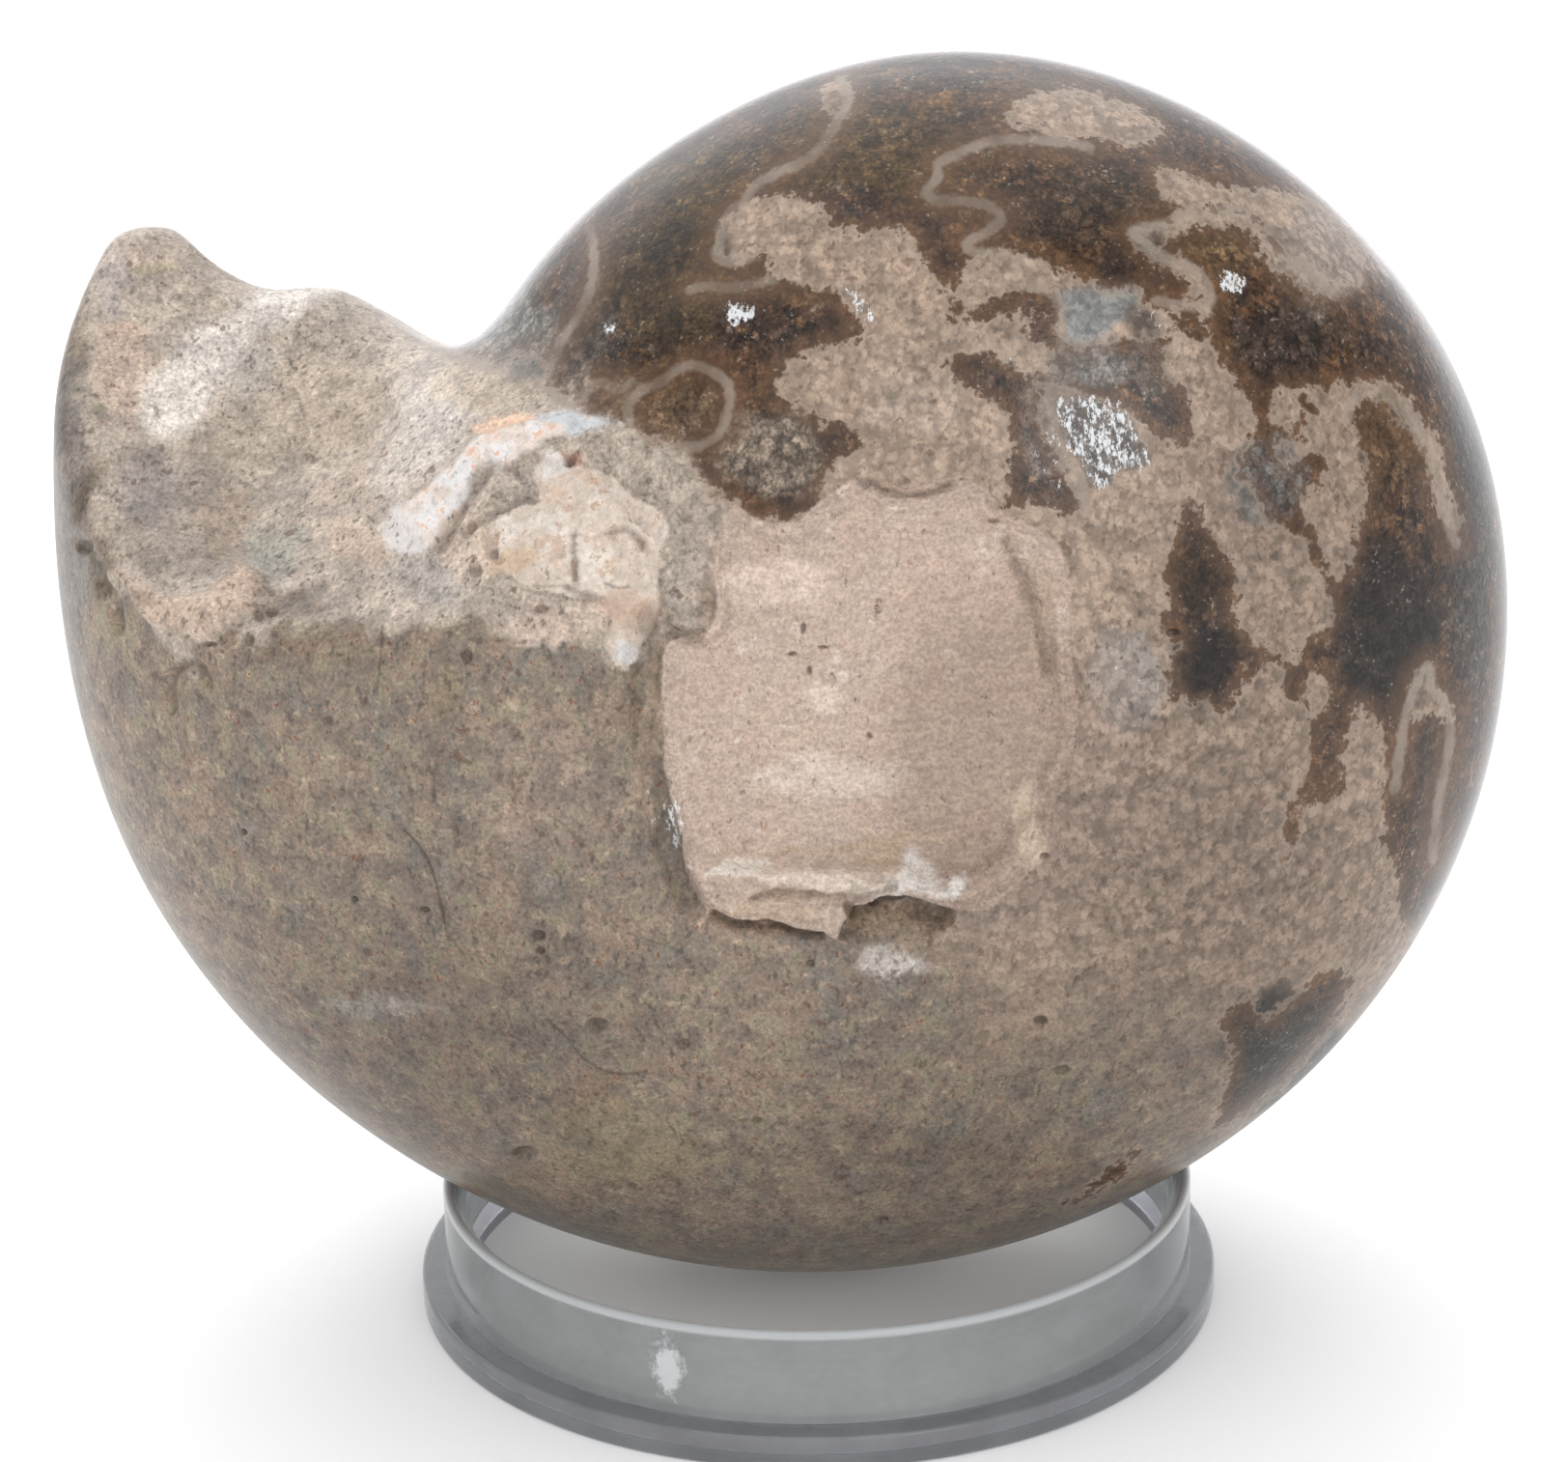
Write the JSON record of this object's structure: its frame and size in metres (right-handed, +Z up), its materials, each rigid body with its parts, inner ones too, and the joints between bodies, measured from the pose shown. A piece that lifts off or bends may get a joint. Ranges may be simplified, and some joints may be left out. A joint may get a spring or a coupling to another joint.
{
  "type": "ammonite fossil on a ring stand",
  "caption": "Polished coiled ammonite fossil with a broken body chamber and a chalky umbilical patch, standing upright on a clear ring stand.",
  "frame": {"origin": "middle of the whole object's box, on the surface that the ring stands on", "axes": "+Z up, -Y towards the side of the fossil with the large umbilical patch, +X towards the closed end of the coil"},
  "size_m": [0.0771, 0.045, 0.0677],
  "materials": {
    "fossil": "polished on the flanks, chalky in the broken places",
    "ring": "clear, glossy"
  },
  "bodies": {
    "root": {"ammonite_fossil": "fossil", "ring_stand": "ring"}
  },
  "joints": []
}
